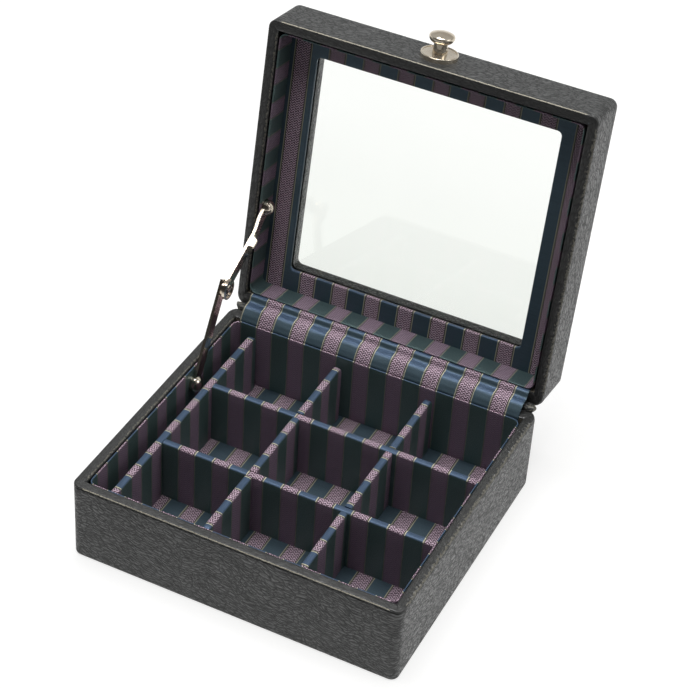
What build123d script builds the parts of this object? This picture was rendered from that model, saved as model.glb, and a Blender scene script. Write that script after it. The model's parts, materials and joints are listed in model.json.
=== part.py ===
"""Cufflink display box: a leather-covered board case with a glazed lid, standing open.

Millimetres, +Z up, +Y towards the hinge. The origin is the centre of the underside.
The lid is built closed on the base, then turned back about the hinge line.
"""
import os

from build123d import *

# Overall size
box_width = 166.2
box_depth = 152.7
base_height = 43.0
lid_height = 27.5
rim_gap = 0.3
corner_radius = 4.0
top_edge_radius = 2.4
rim_edge_radius = 0.5

# Leather, boards and linings
leather_thickness = 0.9
rim_leather_thickness = 1.0
board_thickness = 3.9
back_board_thickness = 5.6
bottom_board_thickness = 3.0
felt_thickness = 0.6
felt_inset = 2.5
lining_thickness = 0.8
lining_corner_radius = 3.0
lining_edge_radius = 0.3
lining_gap_base = 0.75
lining_gap_lid = 1.05
hinge_pocket = 0.65
base_lining_drop = 1.2
lid_lining_drop = 0.6
card_clearance = 0.2

# Floor and dividers of the base
floor_card_thickness = 1.2
divider_thickness = 3.7
divider_top = 38.0
divider_edge_radius = 0.9
divider_end_radius = 3.0
divider_clearance = 0.1
channel_width = 8.7
column_pitch = 49.2
column_count = 2
row_pitch = 47.4
row_count = 2
column_end_gap = 2.0

# Lid window, counted from the outer corner of the box
top_board_thickness = 8.1
glass_thickness = 2.5
glass_overlap = 6.0
glass_clearance = 0.3
frame_card_thickness = 2.0
window_left = 20.6
window_right = 19.9
window_front = 18.15
window_back = 19.15
window_corner_radius = 2.5
window_edge_radius = 4.0

# Hinge line and the two strips that carry the lid
hinge_behind = 2.05
hinge_below_rim = 0.9
open_angle = 99.3
strip_tail = 14.0
fabric_strip_width = 151.5
fabric_strip_offset = 0.25
fabric_strip_thickness = 0.45
fabric_strip_bend = 0.8
spine_width = 157.2
spine_bend = 2.0
spine_clearance = 0.1

# Stay on the left side: pivots from the back of the box and the closed rim
base_pivot_from_back = 51.85
base_pivot_below_rim = 10.0
lid_pivot_from_back = 53.35
lid_pivot_above_rim = 6.0
knee_from_back = 26.85
knee_above_rim = 32.3
arm_width = 6.0
arm_eye_radius = 4.0
arm_square_end = 4.2
arm_thickness = 1.5
arm_side_gap = 0.15
joggle_start = 7.0
joggle_length = 9.0
joggle_bend = 20.0
stay_pin_radius = 1.5
stay_pin_clearance = 0.05
stay_pin_depth = 2.4
flange_radius = 4.2
flange_thickness = 0.7
lid_flange_thickness = 0.4
dome_radius = 4.1
dome_height = 2.9
knee_disc_radius = 5.15
knee_disc_thickness = 1.1
knee_ring_width = 1.1
knee_ring_height = 0.35
knee_boss_radius = 2.4
knee_boss_height = 0.05
knee_dome_height = 0.6
knee_tail_radius = 2.2
knee_tail_height = 0.35
tab_from_pivot = 24.5
tab_length = 6.5
tab_height = 4.25
tab_slope = 2.2

# Knob on the front of the lid
knob_offset = -1.7
knob_above_rim = 14.2
rosette_radius = 9.0
rosette_thickness = 2.25
rosette_rim_width = 0.9
rosette_dish = 0.3
knob_foot_radius = 3.6
knob_neck_radius = 3.3
knob_neck_height = 5.0
knob_head_radius = 6.1
knob_band_height = 0.6
knob_dome_height = 1.8
knob_edge_radius = 1.3
screw_radius = 1.2
screw_clearance = 0.05
screw_head_radius = 2.6
screw_head_height = 1.6
screw_reach = 5.0
screw_recess_clearance = 0.2

# How far a cutting shape runs past what it cuts
cut_margin = 1.0

# Faces worked out from the sizes above
outer_x = box_width / 2
outer_y = box_depth / 2
board_x = outer_x - leather_thickness
board_y = outer_y - leather_thickness
inner_x = board_x - board_thickness
inner_front = -board_y + board_thickness
inner_back = board_y - back_board_thickness
base_lining_x = inner_x - lining_gap_base - lining_thickness
lid_lining_x = inner_x - lining_gap_lid - lining_thickness
lining_front = inner_front + lining_gap_base + lining_thickness
lining_back = inner_back - hinge_pocket - lining_thickness
board_corner = corner_radius - leather_thickness

floor_bottom = felt_thickness + bottom_board_thickness
floor_top = floor_bottom + floor_card_thickness
base_board_top = base_height - rim_leather_thickness
base_lining_top = base_height - base_lining_drop
partition_left = channel_width - base_lining_x
partition_right = partition_left + divider_thickness
tray_centre_x = (partition_right + base_lining_x) / 2
tray_centre_y = (lining_front + lining_back) / 2

lid_rim = base_height + rim_gap
lid_top = lid_rim + lid_height
lid_board_bottom = lid_rim + rim_leather_thickness
lid_board_top = lid_top - leather_thickness - top_board_thickness
frame_card_top = lid_board_top - glass_thickness
frame_card_bottom = frame_card_top - frame_card_thickness
window_x = (window_left - outer_x, outer_x - window_right)
window_y = (window_front - outer_y, outer_y - window_back)

hinge_y = outer_y + hinge_behind
hinge_z = base_height - hinge_below_rim
hinge_axis = Axis((0, hinge_y, hinge_z), (1, 0, 0))

base_pivot = (outer_y - base_pivot_from_back, base_height - base_pivot_below_rim)
lid_pivot = (outer_y - lid_pivot_from_back, base_height + lid_pivot_above_rim)
knee = (outer_y - knee_from_back, base_height + knee_above_rim)
base_wall = -base_lining_x
lid_wall = -lid_lining_x
pin_tail_x = -inner_x - stay_pin_depth
lower_arm_x = base_wall + flange_thickness + stay_pin_clearance
upper_eye_x = lid_wall + lid_flange_thickness + arm_side_gap
upper_arm_x = lower_arm_x + arm_thickness + 2 * knee_boss_height + arm_side_gap
arm_joggle = upper_arm_x - upper_eye_x
pin_hole_radius = stay_pin_radius + stay_pin_clearance


def save(node, shape):
    """Write one sub-part."""
    shape.label = node
    export_step(shape, f"parts/{node}.step")


def opened(shape):
    """Turn a closed-lid shape back to where the open lid stands."""
    return shape.rotate(hinge_axis, -open_angle)


def opened_point(y, z):
    """Where a point of the closed lid stands when the lid is open, as (y, z)."""
    turned = opened(Vertex(0, y, z)).center()
    return (turned.Y, turned.Z)


def block(x, y, z):
    """Box between (low, high) pairs."""
    size = [high - low for low, high in (x, y, z)]
    return Pos(x[0], y[0], z[0]) * Box(*size, align=(Align.MIN, Align.MIN, Align.MIN))


def slab(x, y, z, radius):
    """Box with its four upright edges rounded."""
    plain = block(x, y, z)
    return fillet(plain.edges().filter_by(Axis.Z), radius)


def case_slab(inset, z, radius):
    """Rounded slab of the box's outline, drawn in by an inset."""
    return slab((inset - outer_x, outer_x - inset), (inset - outer_y, outer_y - inset), z, radius)


def board_bay(z):
    """The clear space between the four wall boards."""
    return block((-inner_x, inner_x), (inner_front, inner_back), z)


def wall_boards(z):
    """Front, back, left and right boards; front and back run the full width."""
    ring = case_slab(leather_thickness, z, board_corner) - board_bay(z)
    full_x = (-board_x, board_x)
    return {
        "front": ring & block(full_x, (-board_y, inner_front), z),
        "back": ring & block(full_x, (inner_back, board_y), z),
        "left": ring & block((-board_x, -inner_x), (inner_front, inner_back), z),
        "right": ring & block((inner_x, board_x), (inner_front, inner_back), z),
    }


def side_leather(z):
    """Leather wound round the outside of the wall boards, open where the spine lies."""
    ring = case_slab(0, z, corner_radius) - case_slab(leather_thickness, z, board_corner)
    return ring - spine_pocket()


def spine_pocket():
    """Space of the leather spine in the back of the base and of the closed lid."""
    half = spine_width / 2 + spine_clearance
    low = base_height - strip_tail
    high = lid_rim + strip_tail
    return block((-half, half), (board_y - spine_clearance, outer_y + cut_margin), (low, high))


def rim_leather(z, shown):
    """Leather turned over the edge of the wall boards, rounded on the shown face."""
    body = case_slab(0, z, corner_radius)
    face = body.faces().sort_by(Axis.Z)[shown]
    body = fillet(face.edges(), rim_edge_radius)
    return body - board_bay(z) - spine_pocket()


def wall_lining(half_width, z, shown):
    """Fabric-covered card band with rounded corners, softened along its shown edge."""
    wall = lining_thickness
    outer_corner = lining_corner_radius + wall
    outer_x_span = (-half_width - wall, half_width + wall)
    outer_y_span = (lining_front - wall, lining_back + wall)
    inner_x_span = (-half_width, half_width)
    inner_y_span = (lining_front, lining_back)
    band = slab(outer_x_span, outer_y_span, z, outer_corner)
    band -= slab(inner_x_span, inner_y_span, z, lining_corner_radius)
    face = band.faces().sort_by(Axis.Z)[shown]
    return fillet(face.edges(), lining_edge_radius)


def stay_pin_hole(wall, pivot):
    """Hole for a stay pin through a lining and into its board, round a (y, z) pivot."""
    start_x = pin_tail_x - stay_pin_clearance
    return disc(start_x, pivot, pin_hole_radius, wall + cut_margin - start_x)


def make_base_case():
    """Wall boards, bottom board and the leather and felt that cover them."""
    boards = wall_boards((floor_bottom, base_board_top))
    boards["left"] -= stay_pin_hole(base_wall, base_pivot)
    for side, board in boards.items():
        save(f"base_{side}_board", board)
    save("base_bottom_board", case_slab(leather_thickness, (felt_thickness, floor_bottom), board_corner))
    save("base_underside_felt", case_slab(felt_inset, (0, felt_thickness), corner_radius))
    save("base_side_leather", side_leather((felt_thickness, base_board_top)))
    save("base_rim_leather", rim_leather((base_board_top, base_height), -1))


def make_base_lining():
    """Floor card and the band of lining that stands on it."""
    x_span = (card_clearance - inner_x, inner_x - card_clearance)
    y_span = (inner_front + card_clearance, inner_back - card_clearance)
    save("base_floor_lining", block(x_span, y_span, (floor_bottom, floor_top)))
    band = wall_lining(base_lining_x, (floor_top, base_lining_top), -1)
    save("base_wall_lining", band - stay_pin_hole(base_wall, base_pivot))


def crossways_divider(x, row):
    """Padded divider from side to side, its two long top edges softened."""
    bar = block(x, (row - divider_thickness / 2, row + divider_thickness / 2), (floor_top, divider_top))
    top_edges = bar.edges().group_by(Axis.Z)[-1].filter_by(Axis.X)
    return fillet(top_edges, divider_edge_radius)


def lengthways_divider(left):
    """Divider from front to back with its upper corners rounded and its top edges softened."""
    ends = (lining_front + column_end_gap, lining_back - column_end_gap)
    bar = block((left, left + divider_thickness), ends, (floor_top, divider_top))
    corners = bar.edges().group_by(Axis.Z)[-1].filter_by(Axis.X)
    bar = fillet(corners, divider_end_radius)
    outlines = [edge for face in bar.faces().filter_by(Axis.X) for edge in face.edges()]
    upper = [edge for edge in outlines if edge.center().Z > divider_top - divider_end_radius]
    return fillet(upper, divider_edge_radius)


def centres(middle, pitch, count):
    """Evenly pitched centres about a middle."""
    return [middle + (i - (count - 1) / 2) * pitch for i in range(count)]


def crossing(column, row, z):
    """Slot at one crossing, as wide as the crossing divider and its clearance."""
    half = divider_thickness / 2 + divider_clearance
    return block((column - half, column + half), (row - half, row + half), z)


def make_dividers():
    """Side-channel partition and the half-lapped grid of columns and rows."""
    columns = centres(tray_centre_x, column_pitch, column_count)
    rows = centres(tray_centre_y, row_pitch, row_count)
    lap = (floor_top + divider_top) / 2
    save("side_channel_partition", lengthways_divider(partition_left))
    for i, column in enumerate(columns, 1):
        bar = lengthways_divider(column - divider_thickness / 2)
        for row in rows:
            bar -= crossing(column, row, (lap - divider_clearance, divider_top + cut_margin))
        save(f"column_divider_{i}", bar)
    x_span = (partition_right + divider_clearance, base_lining_x - divider_clearance)
    for i, row in enumerate(rows, 1):
        bar = crossways_divider(x_span, row)
        for column in columns:
            bar -= crossing(column, row, (floor_top - cut_margin, lap + divider_clearance))
        save(f"row_divider_{i}", bar)


def window_spans(margin):
    """X and Y spans of the window opening, widened all round by a margin."""
    return (window_x[0] - margin, window_x[1] + margin), (window_y[0] - margin, window_y[1] + margin)


def window_slab(margin, z):
    """Slab of the window opening with its rounded corners, widened all round by a margin."""
    return slab(*window_spans(margin), z, window_corner_radius + margin)


def top_frame(inset):
    """Top of the closed lid round its window, drawn in from the finished skin by an inset."""
    z_span = (lid_board_top, lid_top - inset)
    frame = case_slab(inset, z_span, corner_radius - inset)
    outer_rim = frame.faces().sort_by(Axis.Z)[-1].edges()
    frame = fillet(outer_rim, top_edge_radius - inset)
    frame -= window_slab(inset, z_span)
    window_rim = frame.faces().sort_by(Axis.Z)[-1].inner_wires()[0].edges()
    return fillet(window_rim, window_edge_radius - inset)


def make_lid_case():
    """Wall boards, window board and the leather over them."""
    boards = wall_boards((lid_board_bottom, lid_board_top))
    boards["left"] -= stay_pin_hole(lid_wall, lid_pivot)
    boards["front"] -= knob_screw_hole()
    for side, board in boards.items():
        save(f"lid_{side}_board", opened(board))
    window_board = top_frame(leather_thickness)
    skin_break = lid_top - top_edge_radius
    side_skin = case_slab(0, (lid_board_top, skin_break), corner_radius)
    side_skin -= case_slab(leather_thickness, (lid_board_top, skin_break), board_corner)
    save("lid_window_board", opened(window_board))
    save("lid_top_leather", opened(top_frame(0) - window_board - side_skin))
    skin = side_leather((lid_board_bottom, skin_break)) - knob_screw_hole()
    save("lid_side_leather", opened(skin))
    save("lid_rim_leather", opened(rim_leather((lid_rim, lid_board_bottom), 0)))


def make_glazing():
    """Glass, the card that packs round its edge and the lined frame that holds it."""
    glass_span = (frame_card_top, lid_board_top)
    frame_span = (frame_card_bottom, frame_card_top)
    x_span = (card_clearance - inner_x, inner_x - card_clearance)
    y_span = (inner_front + card_clearance, inner_back - card_clearance)
    save("glass_pane", opened(block(*window_spans(glass_overlap), glass_span)))
    packing = block(x_span, y_span, glass_span)
    packing -= block(*window_spans(glass_overlap + glass_clearance), glass_span)
    save("glass_packing_frame", opened(packing))
    frame = block(x_span, y_span, frame_span) - window_slab(0, frame_span)
    save("window_frame_lining", opened(frame))
    band = wall_lining(lid_lining_x, (lid_rim + lid_lining_drop, frame_card_bottom), 0)
    save("lid_wall_lining", opened(band - stay_pin_hole(lid_wall, lid_pivot)))


def extrude_strip(line, thickness, width, middle):
    """Give a line in the YZ plane its thickness and its width along X."""
    face = make_face(offset(line, amount=thickness / 2, side=Side.BOTH))
    return Pos(middle - width / 2, 0, 0) * extrude(face, amount=width, dir=(1, 0, 0))


def make_fabric_strip():
    """Lined strip inside the hinge, tucked behind the back lining of the base and of the lid."""
    y = inner_back - hinge_pocket / 2
    tail = base_height - strip_tail
    lid_tail = lid_board_bottom + strip_tail - 2 * rim_leather_thickness
    route = [(y, tail), (y, lid_rim), opened_point(y, lid_rim), opened_point(y, lid_tail)]
    line = FilletPolyline(*[(0, *point) for point in route], radius=fabric_strip_bend)
    strip = extrude_strip(line, fabric_strip_thickness, fabric_strip_width, fabric_strip_offset)
    save("fabric_hinge_strip", strip)


def make_leather_spine():
    """Leather spine: up the back of the base and round to the back of the open lid."""
    y = outer_y - leather_thickness / 2
    end_room = spine_clearance + leather_thickness / 2
    lid_edge = Vector(0, *opened_point(y, lid_rim))
    lid_tail = Vector(0, *opened_point(y, lid_rim + strip_tail - end_room))
    along = (lid_tail - lid_edge).normalized()
    corner = lid_edge - along * ((lid_edge.Y - y) / along.Y)
    tail = Vector(0, y, base_height - strip_tail + end_room)
    line = FilletPolyline(tail, corner, lid_tail, radius=spine_bend)
    save("leather_spine", extrude_strip(line, leather_thickness - spine_clearance, spine_width, 0))


def disc(x, pivot, radius, height):
    """Disc standing out along +X from a side wall, round a (y, z) pivot."""
    upright = Cylinder(radius, height, align=(Align.CENTER, Align.CENTER, Align.MIN))
    return Pos(x, *pivot) * Rot(Y=90) * upright


def dome(x, pivot, radius, height):
    """Domed rivet head standing out along +X."""
    half = Polyline((0, height), (0, 0), (radius, 0)) + domed_edge(radius, 0, height)
    return Pos(x, *pivot) * Rot(Y=90) * revolve(Plane.XZ * make_face(half), Axis.Z)


def domed_edge(radius, low, height):
    """Arc of a shallow dome, from its rim at one height in to its crown on the axis."""
    ball_radius = (radius ** 2 + height ** 2) / (2 * height)
    return RadiusArc((radius, low), (0, low + height), -ball_radius)


def stay_pin(pivot, head_x):
    """Domed pin that holds one end of the stay to a side board."""
    shank = disc(pin_tail_x, pivot, stay_pin_radius, head_x - pin_tail_x)
    return shank + dome(head_x, pivot, dome_radius, dome_height)


def flange(wall, pivot, thickness):
    """Washer between a side lining and an arm of the stay."""
    return disc(wall, pivot, flange_radius, thickness) - disc(wall, pivot, pin_hole_radius, thickness)


def arm_run(start, end):
    """Vector from one (y, z) pivot of an arm to the other, in the YZ plane."""
    return Vector(0, *end) - Vector(0, *start)


def arm_plane(start, end, x):
    """Plane with its origin on an arm's first pivot, its X along the arm and +Z away from the wall."""
    return Plane((x, *start), x_dir=arm_run(start, end), z_dir=(1, 0, 0))


def arm_outline(length, reach, eyes):
    """Flat bar from the origin along X, run past its far pivot by a reach, with round eyes."""
    outline = Rectangle(length + reach, arm_width, align=(Align.MIN, Align.CENTER))
    for along in eyes:
        outline += Pos(along, 0) * Circle(arm_eye_radius)
    for along in (0, length):
        outline -= Pos(along, 0) * Circle(pin_hole_radius)
    return outline


def make_lower_arm():
    """Lower arm, from its pin in the base to the knee, and its half of the knee rivet."""
    length = arm_run(base_pivot, knee).length
    arm = extrude(arm_outline(length, arm_square_end, (0,)), amount=arm_thickness)
    save("stay_lower_arm", arm_plane(base_pivot, knee, lower_arm_x) * arm)
    tail_x = lower_arm_x - knee_tail_height
    front_x = lower_arm_x + arm_thickness
    half = disc(tail_x, knee, knee_tail_radius, knee_tail_height)
    half += disc(lower_arm_x, knee, stay_pin_radius, arm_thickness)
    half += disc(front_x, knee, knee_boss_radius, knee_boss_height)
    save("knee_rivet_back", half)


def joggled_bar(length):
    """Side profile of the upper arm from knee to eye, bent over towards the lid wall at the eye."""
    step_end = length - joggle_start
    overrun = arm_eye_radius + arm_thickness
    near = arm_thickness / 2
    far = near - arm_joggle
    route = [(-overrun, near), (step_end - joggle_length, near), (step_end, far), (length + overrun, far)]
    line = FilletPolyline(*route, radius=joggle_bend)
    return make_face(offset(line, amount=arm_thickness / 2, side=Side.BOTH))


def finger_tab(length):
    """Tab folded out from the upper arm's upper edge, square towards the knee and sloped towards the eye."""
    start = length - tab_from_pivot
    end = start + tab_length
    tab = Polyline((start, 0), (start, tab_height), (end - tab_slope, tab_height), (end, 0), close=True)
    face = Plane((0, arm_width / 2, 0), x_dir=(1, 0, 0), z_dir=(0, -1, 0)) * make_face(tab)
    return extrude(face, amount=arm_thickness)


def make_upper_arm():
    """Upper arm, from the knee to its pin in the lid, with its joggle and finger tab."""
    eye = opened_point(*lid_pivot)
    length = arm_run(knee, eye).length
    deep = 2 * (arm_joggle + arm_thickness)
    planform = Pos(0, 0, -deep / 2) * extrude(arm_outline(length, 0, (0, length)), amount=deep)
    profile = Plane.XZ * joggled_bar(length)
    bar = Pos(0, arm_eye_radius, 0) * extrude(profile, amount=2 * arm_eye_radius)
    arm = (bar & planform) + finger_tab(length)
    save("stay_upper_arm", arm_plane(knee, eye, upper_arm_x) * arm)


def make_knee_front():
    """The upper arm's half of the knee rivet, under a ringed disc."""
    back_x = lower_arm_x + arm_thickness + knee_boss_height + arm_side_gap
    disc_x = upper_arm_x + arm_thickness
    ring_x = disc_x + knee_disc_thickness
    half = disc(back_x, knee, knee_boss_radius, upper_arm_x - back_x)
    half += disc(upper_arm_x, knee, stay_pin_radius, arm_thickness)
    half += disc(disc_x, knee, knee_disc_radius, knee_disc_thickness)
    ring = disc(ring_x, knee, knee_disc_radius, knee_ring_height)
    half += ring - disc(ring_x, knee, knee_disc_radius - knee_ring_width, knee_ring_height)
    half += dome(ring_x, knee, knee_boss_radius, knee_dome_height)
    save("knee_rivet_front", half)


def make_stay_fixings():
    """Pins and washers that hold the stay to the base and to the lid."""
    base_head_x = lower_arm_x + arm_thickness + arm_side_gap / 2
    lid_head_x = upper_eye_x + arm_thickness + arm_side_gap / 2
    save("base_stay_pin", stay_pin(base_pivot, base_head_x))
    save("base_stay_washer", flange(base_wall, base_pivot, flange_thickness))
    save("lid_stay_pin", opened(stay_pin(lid_pivot, lid_head_x)))
    save("lid_stay_washer", opened(flange(lid_wall, lid_pivot, lid_flange_thickness)))


def on_lid_front(shape, out):
    """Place a turned shape, drawn along +Z, so that it stands out from the lid's front face."""
    return Pos(knob_offset, -outer_y - out, lid_rim + knob_above_rim) * Rot(X=90) * shape


def rod(radius, low, high):
    """Upright cylinder between two heights."""
    return Pos(0, 0, low) * Cylinder(radius, high - low, align=(Align.CENTER, Align.CENTER, Align.MIN))


def knob_screw_hole():
    """Clearance hole and inner recess for the knob's screw through the front of the lid."""
    wall = leather_thickness + board_thickness
    recess = screw_head_height + screw_recess_clearance
    hole = rod(screw_radius + screw_clearance, -wall - cut_margin, cut_margin)
    hole += rod(screw_head_radius + screw_recess_clearance, -wall - cut_margin, recess - wall)
    return on_lid_front(hole, 0)


def make_rosette():
    """Dished disc under the knob."""
    rosette = rod(rosette_radius, 0, rosette_thickness)
    rosette = fillet(rosette.faces().sort_by(Axis.Z)[-1].edges(), rosette_rim_width / 2)
    dish_floor = rosette_thickness - rosette_dish
    dish = rod(rosette_radius - rosette_rim_width, dish_floor, rosette_thickness + cut_margin)
    dish -= rod(knob_foot_radius, dish_floor, rosette_thickness + cut_margin)
    hole = rod(screw_radius + screw_clearance, -cut_margin, rosette_thickness + cut_margin)
    save("knob_rosette", opened(on_lid_front(rosette - dish - hole, 0)))


def make_knob():
    """Turned knob: a waisted neck, a round bowl under the head, a narrow band and a shallow dome."""
    bowl_radius = knob_head_radius - knob_neck_radius
    bowl_top = knob_neck_height + bowl_radius
    band_top = bowl_top + knob_band_height
    neck_top = (knob_neck_radius, knob_neck_height)
    profile = Polyline((0, 0), (knob_foot_radius, 0), (knob_neck_radius, knob_neck_height / 2), neck_top)
    profile += CenterArc((knob_neck_radius, bowl_top), bowl_radius, 270, 90)
    profile += Line((knob_head_radius, bowl_top), (knob_head_radius, band_top))
    profile += domed_edge(knob_head_radius, band_top, knob_dome_height)
    profile += Line((0, band_top + knob_dome_height), (0, 0))
    knob = revolve(Plane.XZ * make_face(profile), Axis.Z)
    rings = knob.edges().filter_by(lambda edge: edge.is_closed)
    knob = fillet(rings.sort_by(Axis.Z)[-1], knob_edge_radius)
    knob -= rod(screw_radius + screw_clearance, -cut_margin, screw_reach + screw_clearance)
    save("knob", opened(on_lid_front(knob, rosette_thickness)))


def make_knob_screw():
    """Screw from inside the lid that pulls the knob and its rosette to the front."""
    head_low = -leather_thickness - board_thickness
    head_top = head_low + screw_head_height
    screw = rod(screw_head_radius, head_low, head_top)
    screw += rod(screw_radius, head_top, rosette_thickness + screw_reach)
    save("knob_screw", opened(on_lid_front(screw, 0)))


os.makedirs("parts", exist_ok=True)
make_base_case()
make_base_lining()
make_dividers()
make_lid_case()
make_glazing()
make_fabric_strip()
make_leather_spine()
make_lower_arm()
make_upper_arm()
make_knee_front()
make_stay_fixings()
make_rosette()
make_knob()
make_knob_screw()
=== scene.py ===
import json
import math

import bpy
import numpy as np
from mathutils import Matrix, Vector


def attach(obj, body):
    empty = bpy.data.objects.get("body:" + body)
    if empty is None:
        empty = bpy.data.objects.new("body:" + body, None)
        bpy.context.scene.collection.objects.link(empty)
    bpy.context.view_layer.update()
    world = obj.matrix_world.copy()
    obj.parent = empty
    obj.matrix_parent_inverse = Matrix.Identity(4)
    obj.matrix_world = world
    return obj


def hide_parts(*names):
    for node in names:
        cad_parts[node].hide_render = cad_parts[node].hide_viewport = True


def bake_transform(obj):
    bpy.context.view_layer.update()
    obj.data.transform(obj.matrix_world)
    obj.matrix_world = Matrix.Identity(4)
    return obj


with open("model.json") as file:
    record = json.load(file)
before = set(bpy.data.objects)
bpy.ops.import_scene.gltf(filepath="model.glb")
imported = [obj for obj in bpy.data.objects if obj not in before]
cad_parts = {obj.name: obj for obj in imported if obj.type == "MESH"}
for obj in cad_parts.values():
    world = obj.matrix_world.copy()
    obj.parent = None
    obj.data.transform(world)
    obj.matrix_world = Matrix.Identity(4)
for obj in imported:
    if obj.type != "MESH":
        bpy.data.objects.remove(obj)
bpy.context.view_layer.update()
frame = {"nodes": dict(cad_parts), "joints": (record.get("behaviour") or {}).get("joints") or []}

mm = 0.001


class Number:
    """A number in a node tree. Arithmetic on it adds Math nodes."""

    def __init__(self, tree, socket):
        self.tree, self.socket = tree, socket

    def do(self, operation, b=0.0, c=0.0):
        """Result of one Math node."""
        inputs = {0: self, 1: b, 2: c}
        return Number(self.tree, take(self.tree, "ShaderNodeMath", inputs, operation=operation))

    def ramp(self, low, high, start=0.0, end=1.0):
        """Smooth step of the number from one level to another."""
        inputs = {"Value": self, "From Min": low, "From Max": high, "To Min": start, "To Max": end}
        smooth_step = take(self.tree, "ShaderNodeMapRange", inputs, interpolation_type="SMOOTHSTEP")
        return Number(self.tree, smooth_step)

    def __add__(self, other):
        return self.do("ADD", other)

    def __sub__(self, other):
        return self.do("SUBTRACT", other)

    def __rsub__(self, other):
        return self.do("MULTIPLY_ADD", -1.0, other)

    def __mul__(self, other):
        return self.do("MULTIPLY", other)


def set_inputs(tree, node, inputs):
    """Link a node's inputs, or write plain values to them."""
    for key, value in inputs.items():
        if isinstance(value, Number):
            value = value.socket
        if isinstance(value, bpy.types.NodeSocket):
            tree.links.new(value, node.inputs[key])
        else:
            node.inputs[key].default_value = value


def place(tree, kind, inputs=None, **settings):
    """Add a node with its settings and inputs."""
    node = tree.nodes.new(kind)
    for key, value in settings.items():
        setattr(node, key, value)
    set_inputs(tree, node, inputs or {})
    return node


def take(tree, kind, inputs=None, **settings):
    """First output of a new node."""
    return place(tree, kind, inputs, **settings).outputs[0]


def coordinates(tree, kind="Object"):
    """Texture coordinates of one kind."""
    return place(tree, "ShaderNodeTexCoord").outputs[kind]


def split(tree, vector):
    """The three numbers of a vector."""
    return [Number(tree, part) for part in place(tree, "ShaderNodeSeparateXYZ", {0: vector}).outputs]


def blend_colour(tree, factor, a, b, way="MIX"):
    """Mix of two colours by a factor."""
    node = place(tree, "ShaderNodeMix", {0: factor, 6: a, 7: b}, data_type="RGBA", blend_type=way)
    return node.outputs[2]


def grey(level):
    """Neutral colour from a linear level."""
    return (level, level, level, 1)


def shade(*display):
    """Colour from display values of 0 to 255."""
    return tuple(((v / 255 + 0.055) / 1.055) ** 2.4 if v > 10 else v / 3294.6 for v in display) + (1.0,)


def new_finish(name):
    """Empty material with its tree and its surface shader."""
    finish = bpy.data.materials.new(name)
    finish.use_nodes = True
    return finish, finish.node_tree, finish.node_tree.nodes["Principled BSDF"]


def rays(tree):
    """Whether a ray is glossy, and whether the camera sees it straight or through the glass."""
    path = place(tree, "ShaderNodeLightPath").outputs
    seen = Number(tree, path["Is Camera Ray"]).do("MAXIMUM", path["Is Transmission Ray"])
    return Number(tree, path["Is Glossy Ray"]), seen


def add(name, data):
    """New object in the scene."""
    thing = bpy.data.objects.new(name, data)
    bpy.context.scene.collection.objects.link(thing)
    return thing


floor_mesh = bpy.data.meshes.new("floor")
floor_mesh.from_pydata([(-4, -4, 0), (4, -4, 0), (4, 4, 0), (-4, 4, 0)], [], [(0, 1, 2, 3)])
floor = add("floor", floor_mesh)
floor_finish, tree, shader = new_finish("pale_floor")
glossy, seen = rays(tree)
fading_to_front = split(tree, coordinates(tree))[1].ramp(-0.28, -0.08, 0.06, 1.0)
shown = seen.do("MAXIMUM", glossy * fading_to_front)
set_inputs(tree, shader, {
    "Base Color": grey(0.35), "Roughness": 0.9, "Specular IOR Level": 0.1, "Emission Strength": 1.0,
    "Emission Color": blend_colour(tree, shown, grey(0), (0.76, 0.76, 0.755, 1))})
floor_mesh.materials.append(floor_finish)

room = bpy.data.worlds.new("room")
bpy.context.scene.world = room
room.use_nodes = True
tree = room.node_tree
glossy, seen = rays(tree)
_, to_back, to_top = split(tree, coordinates(tree, "Generated"))
surround = to_back.ramp(-0.55, -0.1, 0.1, 0.95) * to_top.ramp(0.0, 0.4, 1.0, 0.4)
level = blend_colour(tree, glossy, grey(0.09), surround)
set_inputs(tree, tree.nodes["Background"], {"Color": blend_colour(tree, seen, level, grey(1))})

lit_middle = Vector((0, 0, 0.06))
for name, spot, size, watts in (
    ("overhead_light", (-0.15, 0.05, 2.0), 1.3, 36.0),
    ("right_light", (1.6, 0.3, 1.3), 0.9, 5.0),
):
    lamp = bpy.data.lights.new(name, "AREA")
    lamp.shape, lamp.size, lamp.energy = "SQUARE", size, watts
    light = add(name, lamp)
    light.location = spot
    light.rotation_mode = "QUATERNION"
    light.rotation_quaternion = (lit_middle - Vector(spot)).to_track_quat("-Z", "Y")

camera_place = (0.31657, -0.68377, 0.70520)
focal_pixels, longer_side_pixels = 2152.7, 689
azimuth, elevation, roll = (math.radians(a) for a in (23.96, 38.51, 4.01))
level_reach = math.cos(elevation)
back = Vector((math.sin(azimuth) * level_reach, -math.cos(azimuth) * level_reach, math.sin(elevation)))
right = Vector((math.cos(azimuth), math.sin(azimuth), 0))
up = back.cross(right)
right, up = math.cos(roll) * right + math.sin(roll) * up, math.cos(roll) * up - math.sin(roll) * right
camera = add("camera", bpy.data.cameras.new("camera"))
camera.data.sensor_width = 36
camera.data.lens = camera.data.sensor_width * focal_pixels / longer_side_pixels
camera.matrix_world = Matrix.Translation(camera_place) @ Matrix((right, up, back)).transposed().to_4x4()
bpy.context.scene.camera = camera
bpy.context.scene.view_settings.view_transform = "Standard"

# The boards: grey bookbinder's board, cut and glued into the walls, floor and top of the box,
# all hidden under leather and cloth. The packing round the glass is the same card.


def noise_of(tree, vector, scale, detail=2.0, roughness=0.5):
    """Soft noise on a vector."""
    inputs = {"Vector": vector, "Scale": scale, "Detail": detail, "Roughness": roughness}
    return Number(tree, take(tree, "ShaderNodeTexNoise", inputs))


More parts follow.
